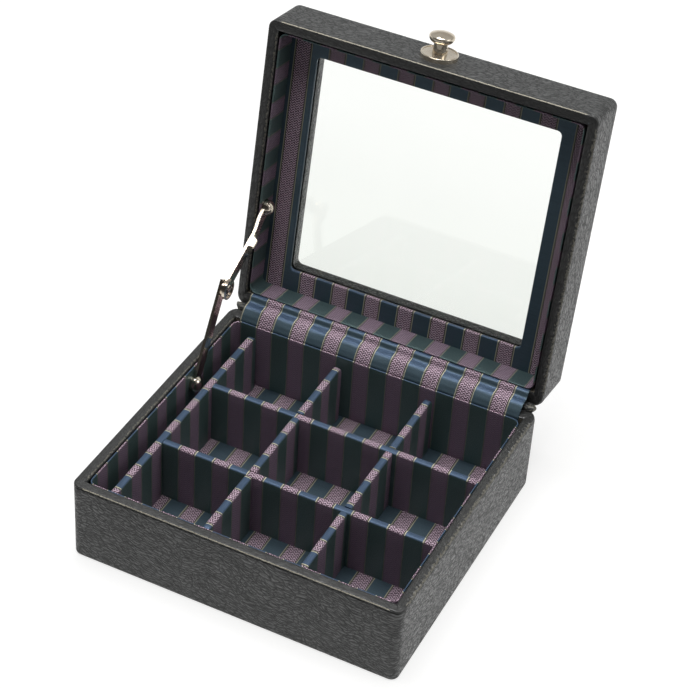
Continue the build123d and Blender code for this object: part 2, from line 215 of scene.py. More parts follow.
def stretch(tree, vector, size, turn=0.0):
    """Vector for a pattern drawn out to a size along its axes, and turned about Z."""
    inputs = {"Vector": vector, "Scale": size, "Rotation": (0, 0, turn)}
    return take(tree, "ShaderNodeMapping", inputs, vector_type="TEXTURE")


def emboss(tree, shader, height, strength, distance):
    """Raise a height through the shader's normal."""
    bump = take(tree, "ShaderNodeBump", {"Height": height, "Strength": strength, "Distance": distance})
    set_inputs(tree, shader, {"Normal": bump})


def dress(finish, *nodes):
    """Give CAD nodes a finish."""
    for node in nodes:
        for slot in frame["nodes"][node].material_slots:
            slot.material = finish


board_finish, tree, shader = new_finish("grey_board")
spot = coordinates(tree)
fibres = noise_of(tree, stretch(tree, spot, (1, 0.25, 1)), 900, 4, 0.7)
tone = blend_colour(tree, fibres, shade(96, 90, 80), shade(142, 134, 120))
set_inputs(tree, shader, {
    "Base Color": blend_colour(tree, noise_of(tree, spot, 60), tone, shade(110, 104, 94)),
    "Roughness": fibres.ramp(0.2, 0.8, 0.95, 0.8)})
emboss(tree, shader, fibres, 0.4, 0.0002)
dress(board_finish, "base_bottom_board", "lid_window_board", "glass_packing_frame")
for side in ("front", "back", "left", "right"):
    dress(board_finish, f"base_{side}_board", f"lid_{side}_board")

# The leather: black pebbled cowhide, 0.9 mm thick, glued round the outside of the base and
# turned under its bottom edge, with its grain running round the box.


def named(tree, sockets):
    """Sockets by name, the numbers among them ready for arithmetic."""
    return {s.name: Number(tree, s) if s.type in ("VALUE", "INT") else s for s in sockets}


def node_group(kind, name, inputs, outputs):
    """New node group, its inputs by name and its output node. A socket is (name, type, value)."""
    tree = bpy.data.node_groups.new(name, kind)
    for way, sockets in (("INPUT", inputs), ("OUTPUT", outputs)):
        for label, socket_kind, *value in sockets:
            socket_type = "NodeSocket" + socket_kind
            socket = tree.interface.new_socket(label, in_out=way, socket_type=socket_type)
            if value:
                socket.default_value = value[0]
    return tree, named(tree, place(tree, "NodeGroupInput").outputs), place(tree, "NodeGroupOutput")


def use_group(tree, group, **inputs):
    """Outputs of a node group placed with its values."""
    return named(tree, place(tree, "ShaderNodeGroup", inputs, node_tree=group).outputs)


def vector_calc(tree, operation, a, b):
    """Result of one step on vectors."""
    return take(tree, "ShaderNodeVectorMath", {0: a, 1: b}, operation=operation)


def scaled(tree, vector, factor):
    """Vector times a number."""
    return take(tree, "ShaderNodeVectorMath", {0: vector, "Scale": factor}, operation="SCALE")


def mask_of(tree, name):
    """Mask stored on a piece's vertices."""
    return Number(tree, place(tree, "ShaderNodeAttribute", attribute_name=name).outputs["Fac"])


grain, given, out = node_group(
    "ShaderNodeTree", "pebbled_grain",
    [("Place", "Vector"), ("Pebble", "Float", 1.0), ("Creases", "Float", 0.6)],
    [("Height", "Float"), ("Valleys", "Float")])
drift = {"Vector": given["Place"], "Scale": 0.05, "Detail": 1.5}
drift = place(grain, "ShaderNodeTexNoise", drift).outputs["Color"]
spot = vector_calc(grain, "ADD", given["Place"], scaled(grain, drift, 9.0))
spot = scaled(grain, spot, given["Pebble"])


def cells_of(size, turn):
    """Distance from the edges of long cells."""
    inputs = {"Vector": stretch(grain, spot, size, turn), "Scale": 1.0}
    cells = place(grain, "ShaderNodeTexVoronoi", inputs, feature="DISTANCE_TO_EDGE")
    return Number(grain, cells.outputs["Distance"])


pebble, fine = cells_of((5.0, 1.6, 1.0), 0.12), cells_of((3.2, 1.3, 1.0), 0.4)
fold = noise_of(grain, stretch(grain, spot, (14.0, 3.4, 1.0), 0.4), 1.0, 3, 0.6)
fold = (fold - 0.5).do("ABSOLUTE").ramp(0.0, 0.05)
pores = noise_of(grain, given["Place"], 3.5, 2, 0.6)
height = pebble.ramp(0.0, 0.4) * 0.8 + pores * 0.05 + fine.ramp(0.0, 0.3) * 0.22
# Mask that is low in the grain's valleys and folds; the leather uses it for painted shade in them and for
# glossier pebble tops.
valley_shade_and_gloss = pebble.ramp(0.0, 0.17) * fine.ramp(0.0, 0.1, 0.6, 1.0) * fold.ramp(0.0, 1.0, 0.3, 1.0)
set_inputs(grain, out, {"Height": height + fold * given["Creases"], "Valleys": valley_shade_and_gloss})

ragged_edge, given, out = node_group(
    "ShaderNodeTree", "ragged_edge_of_a_mask",
    [("Edge", "Float", 0.0), ("Place", "Vector"), ("Raggedness", "Float", 0.5), ("Size", "Float", 1.0)],
    [("Mask", "Float")])
# Ragged mask along an edge, used for the rim's raw edge and for painted highlights.
torn = (noise_of(ragged_edge, given["Place"], given["Size"], 4, 0.65) - 0.5) * given["Raggedness"]
set_inputs(ragged_edge, out, {"Mask": (torn * 3.0 + given["Edge"]).ramp(0.45, 0.6)})

leather, tree, shader = new_finish("pebbled_black_leather")
spot = take(tree, "ShaderNodeUVMap", uv_map="UVMap")
pebbled = use_group(tree, grain, Place=spot, Pebble=1.0, Creases=0.6)
valley_shade_and_gloss, pressed = pebbled["Valleys"], mask_of(tree, "pressed")
raw_and_highlit_edge, crinkle_glint = (
    use_group(tree, ragged_edge, Edge=mask_of(tree, name), Place=spot, Raggedness=rough, Size=size)["Mask"]
    for name, rough, size in (("raw_edge_and_highlight", 0.35, 1.1), ("crinkle_highlight", 0.9, 0.7)))
# Painted shade: the grain's valleys and folds are coloured darker than the pebble tops.
hide = blend_colour(tree, valley_shade_and_gloss, shade(14, 15, 15), shade(34, 37, 36))
for factor, colour in (
    (noise_of(tree, spot, 0.05, 3).ramp(0.35, 0.65, 0.0, 0.3), shade(38, 41, 39)),
    (pressed * 0.8, shade(11, 12, 11)),
    # Painted highlight: pale glints on the rim's crinkles and the spine's crumpled ends.
    (crinkle_glint * 0.55, shade(128, 124, 110)),
    # Pale raw cut edge along the front, with a painted highlight on it.
    (raw_and_highlit_edge, shade(192, 186, 168)),
):
    hide = blend_colour(tree, factor, hide, colour)
set_inputs(tree, shader, {
    "Base Color": hide, "Roughness": (valley_shade_and_gloss * -0.25 + 0.65).do("MAXIMUM", raw_and_highlit_edge * 0.9),
    "Specular IOR Level": 0.8, "Coat Weight": valley_shade_and_gloss * 0.38, "Coat Roughness": 0.3})
emboss(tree, shader, pebbled["Height"] * (pressed * -0.7 + 1.0), 1.0, 0.0003)

# An outline is (left, right, front, back, corner radius, least corner radius), in millimetres.
case = (-83.1, 83.1, -76.35, 76.35, 4.0, 0.4)
path_corner = 0.004


def keep(tree, geometry, name, value, kind="FLOAT_VECTOR"):
    """Store a value on the points."""
    inputs = {"Geometry": geometry, "Name": name, "Value": value}
    return take(tree, "GeometryNodeStoreNamedAttribute", inputs, data_type=kind, domain="POINT")


def kept(tree, name, kind="FLOAT_VECTOR"):
    """Read a value stored on the points."""
    return take(tree, "GeometryNodeInputNamedAttribute", {"Name": name}, data_type=kind)


def end_tree(tree, geometry, given, out):
    """Push the points along their normals by a soft seeded noise, and end with a plain finished mesh."""
    where = vector_calc(tree, "ADD", take(tree, "GeometryNodeInputPosition"), given["Seed"])
    swell = (noise_of(tree, where, given["Ripples per metre"]) - 0.5) * (given["Ripple"] * 2.0)
    push = scaled(tree, take(tree, "GeometryNodeInputNormal"), swell * kept(tree, "give", "FLOAT"))
    geometry = take(tree, "GeometryNodeSetPosition", {"Geometry": geometry, "Offset": push})
    geometry = take(tree, "GeometryNodeRealizeInstances", {"Geometry": geometry})
    inputs = {"Geometry": geometry, "Material": given["Finish"]}
    set_inputs(tree, out, {"Geometry": take(tree, "GeometryNodeSetMaterial", inputs)})


ripple_inputs = [
    ("Ripple", "Float", 0.0), ("Ripples per metre", "Float", 50.0), ("Seed", "Vector", (0.0, 0.0, 0.0)),
    ("Finish", "Material")]
tree, given, out = node_group(
    "GeometryNodeTree", "wrap_round_the_box",
    [("Geometry", "Geometry"), ("Cuts per side", "Int", 40), ("Corner steps", "Int", 7), *ripple_inputs],
    [("Geometry", "Geometry")])
point = take(tree, "GeometryNodeInputPosition")
index = Number(tree, take(tree, "GeometryNodeInputIndex"))
outline = take(tree, "GeometryNodeCurvePrimitiveQuadrilateral", {"Width": 2.0, "Height": 2.0})
outline = take(
    tree, "GeometryNodeSubdivideCurve", {"Curve": outline, "Cuts": given["Cuts per side"]})
x, y, _ = split(tree, point)
at_corner = (x * y).do("ABSOLUTE").do("GREATER_THAN", 0.999)
steps = (at_corner * given["Corner steps"]).do("MAXIMUM", 1.0)
inputs = {"Curve": outline, "Count": steps, "Radius": path_corner}
outline = take(tree, "GeometryNodeFilletCurve", inputs, mode="POLY")
following = take(
    tree, "GeometryNodeFieldAtIndex", {"Index": index + 1.0, "Value": point},
    data_type="FLOAT_VECTOR", domain="POINT")
gap = place(tree, "ShaderNodeVectorMath", {0: point, 1: following}, operation="DISTANCE")
doubled = Number(tree, gap.outputs["Value"]).do("LESS_THAN", 1e-5)
inputs = {"Geometry": outline, "Selection": doubled}
outline = take(tree, "GeometryNodeDeleteGeometry", inputs, domain="POINT")
straight = (1 - path_corner,) * 2
spread = vector_calc(tree, "DIVIDE", point, straight + (1,))
spread = vector_calc(tree, "MINIMUM", spread, (1, 1, 1))
spread = vector_calc(tree, "MAXIMUM", spread, (-1, -1, -1))
turn = vector_calc(tree, "MULTIPLY", spread, straight + (0,))
turn = vector_calc(tree, "SUBTRACT", point, turn)
turn = vector_calc(tree, "DIVIDE", turn, (path_corner, path_corner, 1))
outline = keep(tree, outline, "turn", turn)
outline = keep(tree, outline, "spread", spread)
outline = keep(tree, outline, "ring", index, "INT")
section = take(tree, "GeometryNodeMeshToCurve", {"Mesh": given["Geometry"]})
wall = take(tree, "GeometryNodeCurveToMesh", {"Curve": outline, "Profile Curve": section})
radius = kept(tree, "corner", "FLOAT")
flat = take(tree, "ShaderNodeCombineXYZ", {"X": radius, "Y": radius})
reach = vector_calc(tree, "SUBTRACT", kept(tree, "half"), flat)
reach = vector_calc(tree, "MULTIPLY", kept(tree, "spread"), reach)
bend = vector_calc(tree, "MULTIPLY", kept(tree, "turn"), flat)
reach = vector_calc(tree, "ADD", vector_calc(tree, "ADD", reach, bend), kept(tree, "centre"))
wall = take(tree, "GeometryNodeSetPosition", {"Geometry": wall, "Position": reach})
end_tree(tree, wall, given, out)
wrap_tree = tree


def grow(name, start, tree, values, depth, rate, seed, finish):
    """Plain result of a geometry tree on a start mesh, rippled to a depth at a rate per metre."""
    piece = add(name, start)
    modifier = piece.modifiers.new("grow", "NODES")
    modifier.node_group = tree
    values = {**values, "Ripple": depth * mm, "Ripples per metre": rate, "Seed": seed, "Finish": finish}
    for item in tree.interface.items_tree:
        if item.in_out == "INPUT" and item.name in values:
            modifier[item.identifier] = values[item.name]
    bpy.context.view_layer.update()
    evaluated = piece.evaluated_get(bpy.context.evaluated_depsgraph_get())
    grown = bpy.data.meshes.new_from_object(evaluated)
    piece.modifiers.clear()
    piece.data = grown
    grown.name = name
    bpy.data.meshes.remove(start)
    return piece


def read(data, key, width=1, kind=float):
    """One property of many elements, in rows where it has a width."""
    values = np.empty(len(data) * width, kind)
    data.foreach_get(key, values)
    return values.reshape(-1, width) if width > 1 else values


def points_of(piece):
    """Vertex positions in millimetres."""
    return read(piece.data.vertices, "co", 3) / mm


def set_points(piece, spots):
    """Write vertex positions in millimetres."""
    piece.data.vertices.foreach_set("co", (spots * mm).ravel())
    piece.data.update()


def stored(piece, name):
    """One stored number of every vertex."""
    return read(piece.data.attributes[name].data, "value")


def corners_of(piece):
    """Vertex of every face corner."""
    return read(piece.data.loops, "vertex_index", 1, np.int32)


def lay_map(piece, layout):
    """Write the UV map, corner by corner."""
    layer = piece.data.uv_layers.new(name="UVMap")
    layer.data.foreach_set("uv", layout.astype(np.float32).ravel())


def mark(piece, name, values):
    """Store a mask on the vertices, from a value for each or one for all."""
    layer = piece.data.attributes.new(name, "FLOAT", "POINT")
    values = np.broadcast_to(np.asarray(values, np.float32), len(piece.data.vertices))
    layer.data.foreach_set("value", np.ascontiguousarray(values))


def finish_off(piece, angle=35):
    """Smooth shading with sharp edges above an angle, without the numbers the piece was made with."""
    piece.data.polygons.foreach_set("use_smooth", np.ones(len(piece.data.polygons), bool))
    piece.data.set_sharp_from_angle(angle=math.radians(angle))
    for name in ("ring", "station", "turn", "spread", "half", "centre", "corner", "give", "along"):
        layer = piece.data.attributes.get(name)
        if layer:
            piece.data.attributes.remove(layer)


def face_out(piece):
    """Turn the faces of a closed mesh outwards."""
    mesh = piece.data
    mesh.calc_loop_triangles()
    corners = read(mesh.loop_triangles, "vertices", 3, np.int32)
    a, b, c = points_of(piece)[corners].transpose(1, 0, 2)
    if np.einsum("ij,ij->i", a, np.cross(b, c)).sum() < 0:
        mesh.flip_normals()


def drawn_in(outline, inset):
    """Outline drawn in on every side."""
    left, right, front, back, corner, least = outline
    return left + inset, right - inset, front + inset, back - inset, max(corner - inset, least), least


def row(outline, inset, z, give=0.0):
    """Row of a section: (half x, half y, centre x, centre y, z, corner, give)."""
    left, right, front, back, corner, _ = drawn_in(outline, inset)
    return (right - left) / 2, (back - front) / 2, (right + left) / 2, (back + front) / 2, z, corner, give


def between(a, b, share):
    """Outline part of the way from one to another."""
    return tuple(u + (v - u) * share for u, v in zip(a, b))


def wrap_round(name, rows, cuts, *ripple):
    """Sweep a closed section round the box."""
    count = len(rows)
    start = bpy.data.meshes.new(name + "_section")
    spots = [(row[0] * mm, row[4] * mm, 0) for row in rows]
    start.from_pydata(spots, [(i, (i + 1) % count) for i in range(count)], [])
    table = np.array(rows, np.float32)
    half = np.c_[table[:, :2], np.zeros(count)] * mm
    for label, kind, key, data in (
        ("half", "FLOAT_VECTOR", "vector", half), ("centre", "FLOAT_VECTOR", "vector", table[:, 2:5] * mm),
        ("corner", "FLOAT", "value", table[:, 5] * mm), ("give", "FLOAT", "value", table[:, 6]),
        ("station", "INT", "value", np.arange(count, dtype=np.int32)),
    ):
        layer = start.attributes.new(label, kind, "POINT")
        layer.data.foreach_set(key, np.ascontiguousarray(data).ravel())
    piece = grow(name, start, wrap_tree, {"Cuts per side": cuts}, *ripple)
    face_out(piece)
    return piece


def unwrap(piece, ring_place, station_place, lying_flat=False):
    """Lay the UV map by ring and station, and by X and Y on the faces that lie flat if asked."""
    corner = corners_of(piece).reshape(-1, 4)
    ring, station = (stored(piece, name).astype(int)[corner] for name in ("ring", "station"))
    for index, last in ((ring, ring.max()), (station, station.max())):
        crossing = (index.max(1) - index.min(1) > 1)[:, None] & (index == 0)
        index[crossing] = last + 1
    layout = np.stack([ring_place[ring], station_place[station]], -1)
    if lying_flat:
        lying = np.abs(read(piece.data.polygons, "normal", 3)[:, 2]) > 0.7
        layout[lying] = points_of(piece)[corner[lying]][..., :2]
    lay_map(piece, layout)


def ring_points(piece, station):
    """Points round the box at one station."""
    ring = stored(piece, "ring")
    chosen = np.flatnonzero(stored(piece, "station") == station)
    return points_of(piece)[chosen[np.argsort(ring[chosen])]]


def run_round(spots):
    """Length run along a closed line at each point, and the whole length."""
    steps = np.linalg.norm(np.diff(np.vstack([spots, spots[:1]]), axis=0), axis=1)
    return np.concatenate([[0], np.cumsum(steps)])


def section_run(rows):
    """Length run along a section at each row."""
    return run_round(np.array([(row[0], row[1], row[4]) for row in rows]))


spine_half = 78.7
spine_low = 29.0
spine_edge = 0.8
under_spine = 75.48


def sink_under_spine(spots, depth, low=-1e9, high=1e9):
    """Thin the back of a skin where the spine is glued over it."""
    beyond = np.array([spine_half + spine_edge - np.abs(spots[:, 0]), spots[:, 2] - low, high - spots[:, 2]])
    edge = np.clip(beyond / spine_edge, 0, 1).prod(axis=0)
    sunk = spots[:, 1] > depth
    spots[sunk, 1] += edge[sunk] * (depth - spots[sunk, 1])


rows = [row(case, *step) for step in ((0.88, 41.7), (0.5, 41.72), (0.22, 41.6), (0.06, 41.3))]
rows += [row(case, 0, z, 1.0) for z in (40.8, 38, 34, 30, 29, 28, 24, 20, 16, 12, 8, 5, 3, 1.7)]
rows += [row(case, *step) for step in (
    (0.08, 1.0), (0.35, 0.45), (0.8, 0.15), (1.4, 0.06), (2.3, 0.05), (2.42, 0.3), (2.3, 0.57),
    (0.88, 0.58), (0.88, 20.0))]
base_skin = wrap_round("base_leather_skin", rows, 60, 0.07, 45.0, (1.0, 2.0, 3.0), leather)
unwrap(base_skin, run_round(ring_points(base_skin, 8)), section_run(rows), lying_flat=True)
spots = points_of(base_skin)
sink_under_spine(spots, under_spine, low=spine_low - 0.4)
set_points(base_skin, spots)
finish_off(base_skin)
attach(base_skin, "base")
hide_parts("base_side_leather")

# The base's rim: a strip of the same leather laid over the boards' edges, its raw edge showing
# pale along the front with a painted highlight on it, its outer side in crinkles where it was pulled tight,
# with painted highlights on them, and turned down inside.
rim_steps = [
    (0.12, 0.0), (0.0, 0.15), (0.0, 0.4), (0.08, 0.66), (0.25, 0.85), (0.5, 0.96), (0.9, 1.0),
    (1.3, 1.0), (1.7, 1.0), (2.2, 1.0), (2.8, 1.0), (3.4, 1.0), (4.0, 0.97), (4.4, 0.88), (4.75, 0.68),
    (5.0, 0.35), (5.15, 0.0), (5.22, -1.0), (5.24, -5.0), (5.2, -9.0), (4.9, -9.0), (4.84, -5.0),
    (4.82, -0.1), (4.5, 0.02), (2.1, 0.02), (0.9, 0.02)]
rim_back_face, rim_back_inner = 71.55, 69.85
leg_face = 69.9


def crumple(spots, size, seed):
    """Seeded waves along the rim, between -1 and 1."""
    rng = np.random.default_rng(seed)
    swell = np.zeros(len(spots))
    along = spots[:, 1] + 0.4 * np.abs(spots[:, 0])
    for _ in range(9):
        swell += np.sin(along * 2 * np.pi / (size * rng.uniform(0.7, 1.6)) + rng.uniform(0, 6.3))
    return np.clip(swell / 4, -1, 1)


def rim(name, level, up, seed):
    """Rim whose shown face is at a level, with its mitres, its crinkles and a wider back margin, and painted
    highlights on its crinkles and its front's raw edge.
    """
    rows = [row(case, inset, level - up + up * rise, 0.3) for inset, rise in rim_steps]
    piece = wrap_round(name, rows, 300, 0.05, 60.0, seed, leather)
    unwrap(piece, run_round(ring_points(piece, 6)), section_run(rows))
    spots = points_of(piece)
    from_side, from_end = case[1] - np.abs(spots[:, 0]), case[3] - np.abs(spots[:, 1])
    inset = np.minimum(from_side, from_end)
    depth = (level - spots[:, 2]) * up
    shown = np.clip(1.3 - depth / 0.9, 0, 1)
    side = np.clip((from_end - 3.5) / 4, 0, 1) * (from_side < 6)
    front = np.clip((from_side - 3) / 4, 0, 1) * (spots[:, 1] < -70)
    outer = np.clip(1 - inset / 2.4, 0, 1) * shown
    inner = np.clip(1 - np.abs(inset - 4.6) / 0.8, 0, 1) * shown
    right, left = side * (spots[:, 0] > 0) * outer, side * (spots[:, 0] < 0) * inner
    # The front's outer edge: the leather's pale raw cut edge, with a painted highlight along it.
    mark(piece, "raw_edge_and_highlight", front * np.clip(1.15 - np.abs(depth - 0.35) / 0.5, 0, 1) * (inset < 0.4) * 0.72)
    mark(piece, "pressed", 1.0)
    # Painted highlight where the crinkles catch the light: the right side's outer edge, the left side's
    # inner edge and a little of the front.
    mark(piece, "crinkle_highlight", right * 0.8 + left * 0.75 + front * outer * 0.2)
    mitre = np.clip(1 - np.abs(from_side - from_end) / 0.7, 0, 1) * shown * (inset < 4.9)
    pleats = crumple(spots, 2.4, 5) * right * 0.3 + crumple(spots, 1.7, 6) * left * 0.22
    spots[:, 2] += up * np.minimum(pleats - 0.25 * right - 0.15 * left - 0.14 * mitre, 0.0)
    wide = [-200, 60, rim_back_face, case[3], 200]
    spots[:, 1] = np.interp(spots[:, 1], wide, wide[:2] + [rim_back_inner] + wide[3:])
    leg = (spots[:, 1] > 68) & (spots[:, 1] < leg_face) & (np.abs(spots[:, 0]) < 78.2)
    spots[leg, 1] = leg_face
    sink_under_spine(spots, 75.3)
    spots[:, 2] = up * np.minimum(up * spots[:, 2], up * level)
    set_points(piece, spots)
    finish_off(piece, 50)
    return piece


base_rim = rim("base_leather_rim", 43.0, 1, (4.0, 1.0, 0.0))
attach(base_rim, "base")
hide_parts("base_rim_leather")

# The pad under the box: black felt, 0.6 mm thick, glued to the bottom board inside the leather.
# Its edge is softly rounded and it is the face that the box stands on.
felt, tree, shader = new_finish("black_felt")
spot = coordinates(tree)
fuzz, lint = noise_of(tree, spot, 2600, 5, 0.75), noise_of(tree, spot, 320, 3, 0.6)
set_inputs(tree, shader, {
    "Base Color": blend_colour(tree, fuzz.ramp(0.35, 0.7), shade(12, 12, 13), shade(44, 44, 46)),
    "Roughness": lint.ramp(0.3, 0.7, 0.9, 1.0), "Sheen Weight": 0.35, "Sheen Roughness": 0.6})
emboss(tree, shader, lint * 0.6 + fuzz, 0.8, 0.0003)

pad_edge = (-80.6, 80.6, -73.85, 73.85, 4.0, 0.1)
rows = [row(pad_edge, *step) for step in (
    (73.8, 0.0), (60, 0.0, 1), (45, 0.0, 1), (30, 0.0, 1), (15, 0.0, 1), (5, 0.0, 1), (0.5, 0.0),
    (0.15, 0.06), (0.0, 0.2), (0.0, 0.4), (0.15, 0.55), (0.5, 0.59), (30, 0.59), (73.8, 0.59))]
pad = wrap_round("underside_felt_pad", rows, 40, 0.0, 60.0, (0.0, 0.0, 7.0), felt)
finish_off(pad)
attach(pad, "base")
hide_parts("base_underside_felt")

# The linings of the base: striped jacquard glued over thin card, one band standing round the
# walls with its stripes upright, and one card on the floor with its stripes front to back.
stripe_repeat = 18.0
pink_width = 8.8

weave, given, out = node_group(
    "ShaderNodeTree", "striped_weave",
    [("Place", "Vector"), ("Gloss", "Float", 1.0), ("Tone", "Float", 1.0),
     ("Repeat", "Float", stripe_repeat), ("Pink share", "Float", pink_width / stripe_repeat)],
    [("Colour", "Color"), ("Height", "Float"), ("Lustre", "Float"), ("Dullness", "Float")])
across, along, _ = split(weave, given["Place"])
painted_sheen, repeat = given["Gloss"], given["Repeat"]
x, y = across.do("FRACT") * repeat, along * repeat
pink_edge = given["Pink share"] * repeat
in_pink = x.do("LESS_THAN", pink_edge)
from_line = x.do("MINIMUM", repeat - x).do("MINIMUM", (x - pink_edge).do("ABSOLUTE"))
wander = (noise_of(weave, given["Place"], 30.0, 2) - 0.5) * 0.12
line = (from_line + wander).ramp(0.15, 0.3, 1.0, 0.0)


def wave(length, period):
    """Sine along a length."""
    return (length * (2 * math.pi / period)).do("SINE")


twist, ribs = wave(y + x * 0.8, 0.55), wave(y, 0.42)
zig = (x + 0.25).do("PINGPONG", 1.17)
slope = (y + zig).do("DIVIDE", 1.3).do("FRACT")
stroke = (slope - 0.5).do("ABSOLUTE").ramp(0.2, 0.3, 1.0, 0.0)
picks = wave(y - x * 1.6, 1.05).ramp(-0.75, -0.2, 0.15, 1.0)
inside = from_line.ramp(0.6, 0.95)
figure = stroke * picks * inside
slub_place = take(weave, "ShaderNodeCombineXYZ", {0: across * 1.2, 1: along * 70.0})
slub = noise_of(weave, slub_place, 1.0, 3, 0.6).ramp(0.3, 0.7)
fleck = noise_of(weave, given["Place"], 42.0, 2).ramp(0.4, 0.62)
# Darker, shaded copies of the colours for upright faces, blended towards lit copies with a painted blue
# sheen and bright strokes on faces that lie open: painted light and shade by which way the cloth faces.
shaded_blue = blend_colour(weave, fleck, (0.066, 0.108, 0.104, 1), (0.094, 0.145, 0.138, 1))
blue = blend_colour(weave, slub, (0.05, 0.085, 0.145, 1), (0.08, 0.132, 0.22, 1))
blue = blend_colour(weave, painted_sheen, shaded_blue, blue)
shaded_pink = blend_colour(weave, figure * 0.6, (0.15, 0.11, 0.15, 1), (0.29, 0.205, 0.28, 1))
plum = blend_colour(weave, inside, (0.08, 0.085, 0.06, 1), (0.06, 0.026, 0.048, 1))
pink = blend_colour(weave, figure, plum, (0.98, 0.76, 0.9, 1))
pink = blend_colour(weave, (painted_sheen * 2.0).do("MINIMUM", 1.0), shaded_pink, pink)
cream = blend_colour(weave, twist.ramp(-0.8, 0.6), (0.5, 0.46, 0.32, 1), (0.95, 0.9, 0.7, 1))
# Cream lines darkened on upright faces: painted shade.
cream = blend_colour(weave, painted_sheen, (0.14, 0.15, 0.12, 1), cream)
cloth = blend_colour(weave, line, blend_colour(weave, in_pink, blue, pink), cream)
in_blue = 1.0 - in_pink
plain_blue = in_blue * (1.0 - line)
set_inputs(weave, out, {
    # The colour is scaled by each piece's painted light level.
    "Colour": scaled(weave, cloth, given["Tone"]),
    "Height": figure * in_pink * 0.8 + in_blue * ribs * 0.05 + line * twist.ramp(-1.0, 1.0, 0.7, 1.1),
    "Lustre": plain_blue * 0.45 + figure * in_pink * 0.2,
    "Dullness": plain_blue * -0.25 + 0.72})

cloth_finish, tree, shader = new_finish("striped_jacquard")
spot = take(tree, "ShaderNodeUVMap", uv_map="UVMap")
# Two masks on each piece: how much painted sheen and lit colour it gets, and a painted light level.
woven = use_group(tree, weave, Place=spot, Gloss=mask_of(tree, "painted_sheen"), Tone=mask_of(tree, "tone"))
set_inputs(tree, shader, {
    "Base Color": woven["Colour"], "Metallic": woven["Lustre"], "Roughness": woven["Dullness"]})
emboss(tree, shader, woven["Height"], 0.8, 0.00018)


def lay_painted_light(piece, low, high, start=0.2, end=0.7, tone=1.0, upright_painted_light=None):
    """Store the cloth's painted sheen and painted light level, from its upright faces to its open ones."""
    lying = np.clip((read(piece.data.vertex_normals, "vector", 3)[:, 2] - start) / (end - start), 0, 1)
    upright = tone if upright_painted_light is None else upright_painted_light
    # Painted sheen by how far each vertex faces up; the painted light level blends from upright faces to
    # open ones.
    mark(piece, "painted_sheen", low + (high - low) * lying)
    mark(piece, "tone", upright + (tone - upright) * lying)


def upright_stripes(piece, station, *starts):
    """Pattern place round a lining, from where a pink stripe starts on its front, right, back and left."""
    spots = ring_points(piece, station)
    run = run_round(spots)
    total = run[-1]
    x, y = spots[:, 0], spots[:, 1]
    forward = np.sign(np.sum(x * np.roll(y, -1) - y * np.roll(x, -1)))
    clear = 3.2
    off_corners_x = (x < x.max() - clear) & (x > x.min() + clear)
    off_corners_y = (y < y.max() - clear) & (y > y.min() + clear)
    walls = (
        ((y < y.min() + 0.05) & off_corners_x, x, 1), ((x > x.max() - 0.05) & off_corners_y, y, 1),
        ((y > y.max() - 0.05) & off_corners_x, x, -1), ((x < x.min() + 0.05) & off_corners_y, y, -1))
    knots = []
    for (members, coordinate, sign), start in zip(walls, starts):
        chosen = np.flatnonzero(members)
        jump = np.flatnonzero(np.diff(chosen) > 1)
        if len(jump):
            chosen = np.roll(chosen, -jump[0] - 1)
        local = coordinate[chosen] - start if sign > 0 else start + pink_width - coordinate[chosen]
        knots.append((run[chosen], local * forward))
    lengths, places = [], []
    for where, local in sorted(knots, key=lambda knot: knot[0][0]):
        where = np.where(where < where[0] - 1e-6, where + total, where)
        if places:
            expected = places[-1][-1] + where[0] - lengths[-1][-1]
            local = local + stripe_repeat * round((expected - local[0]) / stripe_repeat)
        lengths.append(where)
        places.append(local)
    where, local = np.concatenate(lengths), np.concatenate(places)
    expected = local[-1] + where[0] + total - where[-1]
    round_turn = stripe_repeat * round((expected - local[0]) / stripe_repeat)
    where = np.concatenate([[where[-1] - total], where, [where[0] + total]])
    local = np.concatenate([[local[-1] - round_turn], local, [local[0] + round_turn]])
    return np.interp(run, where, local) / stripe_repeat


def wall_lining(name, half, upright, turned, station, starts, seed):
    """Band of striped cloth round the walls, from rows on its inner face and (step out, z) behind it."""
    inner_face = (-half, half, -70.0, 68.4, 3.0, 0.0)
    rows = [row(inner_face, 0, z, 1.0) for z in upright]
    rows += [row(inner_face, -out_by, z) for out_by, z in turned]
    piece = wrap_round(name, rows, 70, 0.05, 40.0, seed, cloth_finish)
    unwrap(piece, upright_stripes(piece, station, *starts), section_run(rows) / stripe_repeat)
    finish_off(piece, 60)
    return piece


base_band = wall_lining(
    "base_wall_cloth", 76.75, (5.2, 10, 15, 20, 25, 30, 35, 39, 41.2),
    ((0.05, 41.5), (0.18, 41.7), (0.4, 41.78), (0.62, 41.7), (0.75, 41.5), (0.8, 41.2), (0.8, 4.85),
     (0.06, 4.85)),
    5, (14.0, 0.5, 6.4, 8.5), (2.0, 5.0, 1.0))
# Painted light: lit colours on the band's top edge, and the walls' colour raised 1.35 times.
lay_painted_light(base_band, 0.0, 1.0, upright_painted_light=1.35)
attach(base_band, "base")
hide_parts("base_wall_lining")

inner_wall = (-78.1, 78.1, -71.35, 69.65, 0.4, 0.0)


def flat_lining(name, inner, steps, cuts, depth, rate, seed, pink_start):
    """Flat lining from an inner outline out to the walls, from (share, z, give), striped front to back."""
    rows = [row(between(inner, inner_wall, share), 0, *rest) for share, *rest in steps]
    piece = wrap_round(name, rows, cuts, depth, rate, seed, cloth_finish)
    lay_map(piece, (points_of(piece)[corners_of(piece)][:, :2] - (pink_start, 0)) / stripe_repeat)
    finish_off(piece, 60)
    return piece


